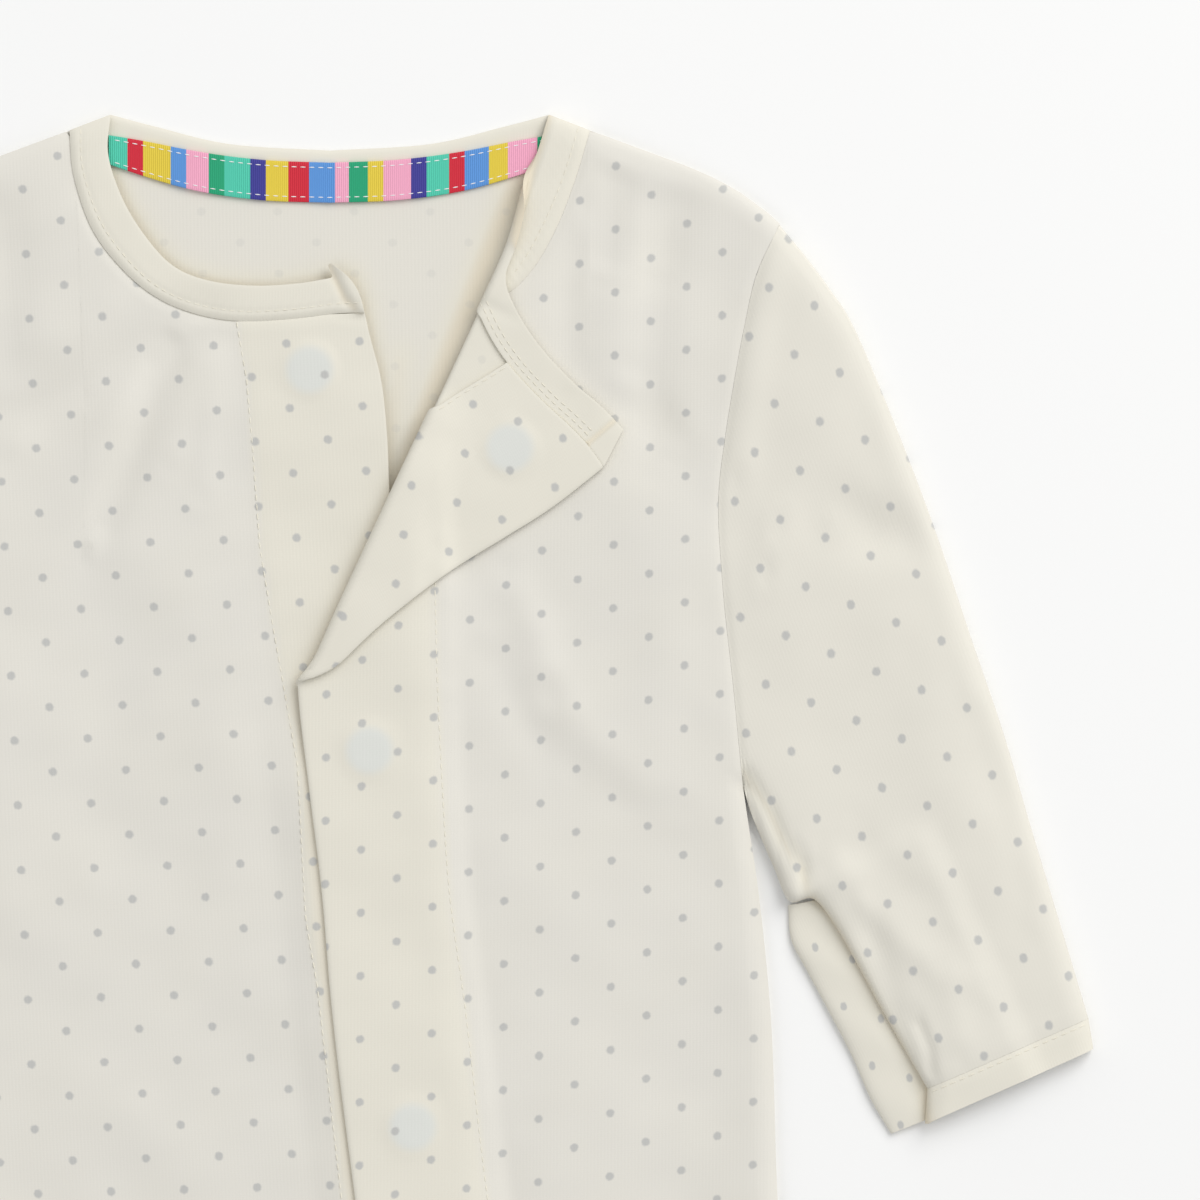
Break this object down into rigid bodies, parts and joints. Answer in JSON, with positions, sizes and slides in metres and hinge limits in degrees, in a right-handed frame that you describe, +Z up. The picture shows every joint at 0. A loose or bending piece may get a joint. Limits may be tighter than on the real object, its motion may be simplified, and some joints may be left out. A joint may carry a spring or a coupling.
{
  "type": "coverall",
  "caption": "Baby coverall in soft jersey with a magnet-closed wrap placket, neck binding, long sleeves and fold-over mitten cuffs, laid flat with one front corner turned open.",
  "frame": {"origin": "centre of the laid-out garment's bounding box, on the surface that it lies on", "axes": "+Y from the leg hems to the neck, +X to the wearer's left, +Z up from the surface through the front"},
  "size_m": [0.3968, 0.561, 0.0121],
  "materials": {
    "dotted_jersey": "matt cream cotton jersey with small grey-blue dots",
    "binding_jersey": "matt plain cream jersey",
    "neck_tape": "ribbed woven tape with stripes across it",
    "magnet": "plated disc"
  },
  "bodies": {
    "root": {"back_body": "dotted_jersey", "front_right": "dotted_jersey", "front_left": "dotted_jersey", "placket_facing": "dotted_jersey", "neck_binding_back": "binding_jersey", "neck_binding_right": "binding_jersey", "neck_binding_left": "binding_jersey", "neck_tape": "neck_tape", "sleeve_left": "dotted_jersey", "sleeve_right": "dotted_jersey", "sleeve_hem_left": "binding_jersey", "sleeve_hem_right": "binding_jersey", "mitt_left": "dotted_jersey", "mitt_right": "dotted_jersey", "magnet_left_1": "magnet", "magnet_left_2": "magnet", "magnet_left_3": "magnet", "magnet_left_4": "magnet", "magnet_left_5": "magnet", "magnet_right_1": "magnet", "magnet_right_2": "magnet", "magnet_right_3": "magnet", "magnet_right_4": "magnet", "magnet_right_5": "magnet"}
  },
  "joints": []
}
